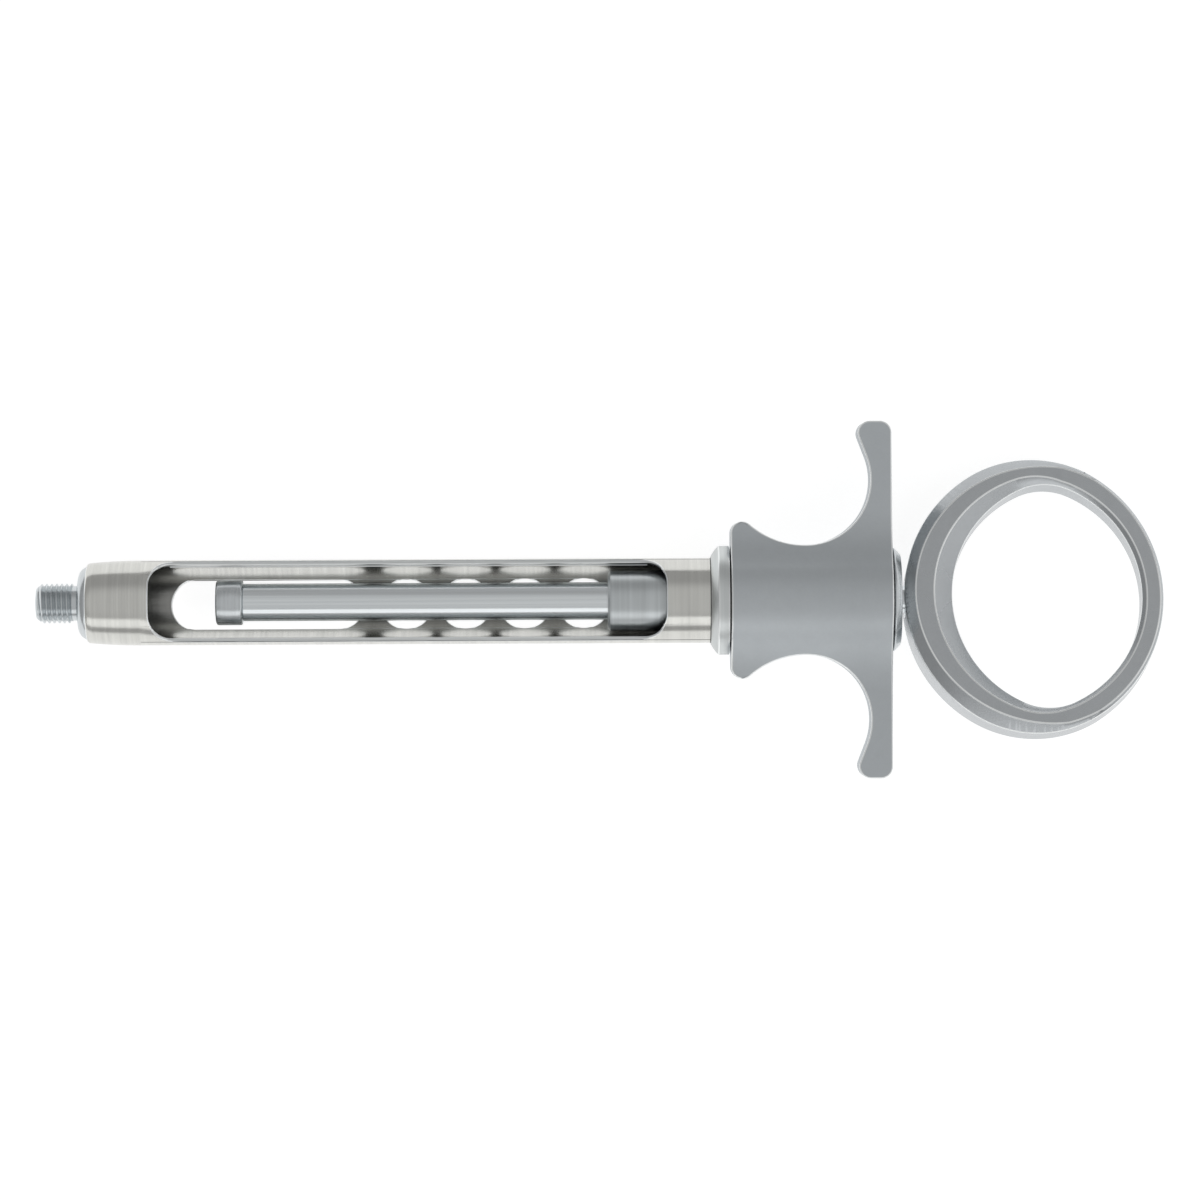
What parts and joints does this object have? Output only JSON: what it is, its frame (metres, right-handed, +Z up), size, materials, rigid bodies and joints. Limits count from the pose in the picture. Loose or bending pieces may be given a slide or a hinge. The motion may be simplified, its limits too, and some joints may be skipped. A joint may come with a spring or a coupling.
{
  "type": "dental aspirating syringe",
  "caption": "Steel side-loading syringe for glass cartridges, with winged finger grip, thumb ring and threaded needle tip.",
  "frame": {"origin": "on the syringe's axis at the middle of the needle thread", "axes": "+X along the axis towards the thumb ring, +Y along the finger wings, +Z up out of the loading window"},
  "size_m": [0.168, 0.0532, 0.0164],
  "materials": {
    "barrel_steel": "fine circumferential brushing",
    "turned_steel": "turned and lightly polished",
    "rod_steel": "polished",
    "cast_steel": "satin, polished after casting",
    "spring_steel": "drawn wire",
    "seal_rubber": "matte"
  },
  "bodies": {
    "barrel": {"needle_adaptor": "turned_steel", "barrel": "barrel_steel", "sleeve_guide": "turned_steel", "return_spring": "spring_steel", "grip_collar": "turned_steel", "rear_cap": "turned_steel", "rod_seal_ring": "seal_rubber"},
    "plunger": {"plunger_rod": "rod_steel", "piston_head": "turned_steel"},
    "sleeve": {"cartridge_sleeve": "turned_steel"},
    "grip": {"finger_grip": "cast_steel"},
    "ring": {"thumb_ring": "cast_steel"}
  },
  "joints": [
    {"name": "plunger_slide", "type": "slide", "parent": "barrel", "child": "plunger", "axis": [1, 0, 0], "range_m": [0, 0.0542]},
    {"name": "sleeve_slide", "type": "slide", "parent": "barrel", "child": "sleeve", "axis": [1, 0, 0], "range_m": [0, 0.008], "stiffness_N_per_m": 500, "springref_m": -0.006, "deforming": ["return_spring"]},
    {"name": "grip_turn", "type": "hinge", "parent": "barrel", "child": "grip", "pos_m": [0.1128, 0, 0], "axis": [1, 0, 0], "continuous": true},
    {"name": "ring_turn", "type": "hinge", "parent": "plunger", "child": "ring", "pos_m": [0.129, 0, 0], "axis": [1, 0, 0], "continuous": true}
  ]
}
